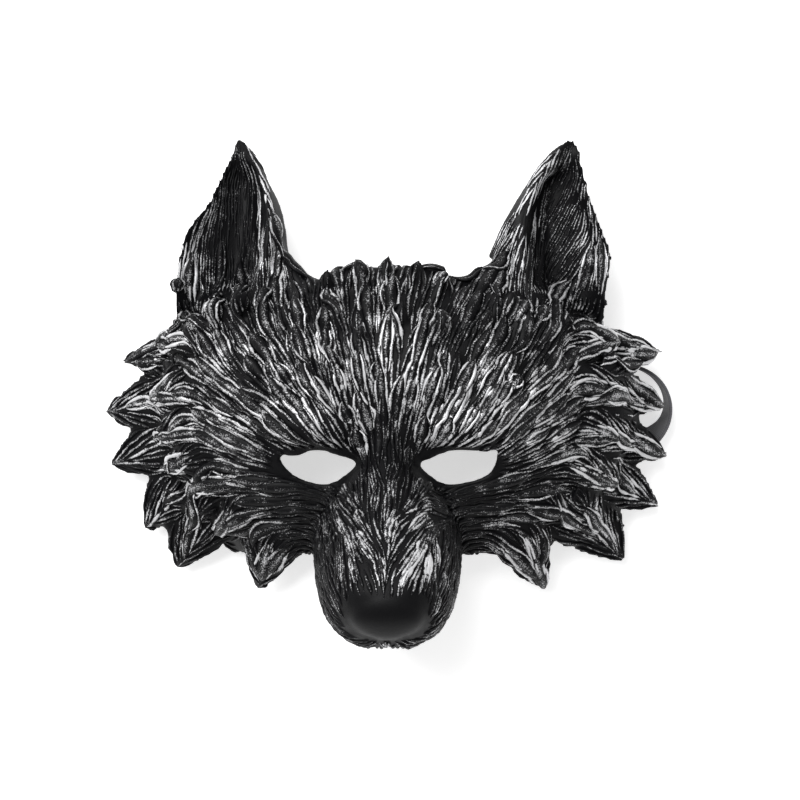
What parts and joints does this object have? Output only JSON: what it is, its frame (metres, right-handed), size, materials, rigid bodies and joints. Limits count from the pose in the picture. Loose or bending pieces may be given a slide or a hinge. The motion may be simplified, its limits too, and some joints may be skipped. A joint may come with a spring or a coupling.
{
  "type": "wolf mask",
  "caption": "Half-face wolf mask of moulded foam with ears, hollow muzzle, fur ruff and eye holes, dry-brushed silver over black, with an elastic head strap, lying on its rim",
  "frame": {"origin": "on the floor under the middle of the whole mask as it lies on its rim", "axes": "+X across the face to the viewer's right, +Y up the face to the ear tips, +Z out of the face, up from the floor"},
  "size_m": [0.2708, 0.236, 0.1143],
  "materials": {
    "foam": "black self-skinned polyurethane foam, fur dry-brushed in silver",
    "elastic": "dark grey knitted elastic, matte",
    "rivet": "black plastic, satin"
  },
  "bodies": {
    "root": {"mask_shell": "foam", "head_strap": "elastic", "strap_rivet_left": "rivet", "strap_rivet_right": "rivet"}
  },
  "joints": []
}
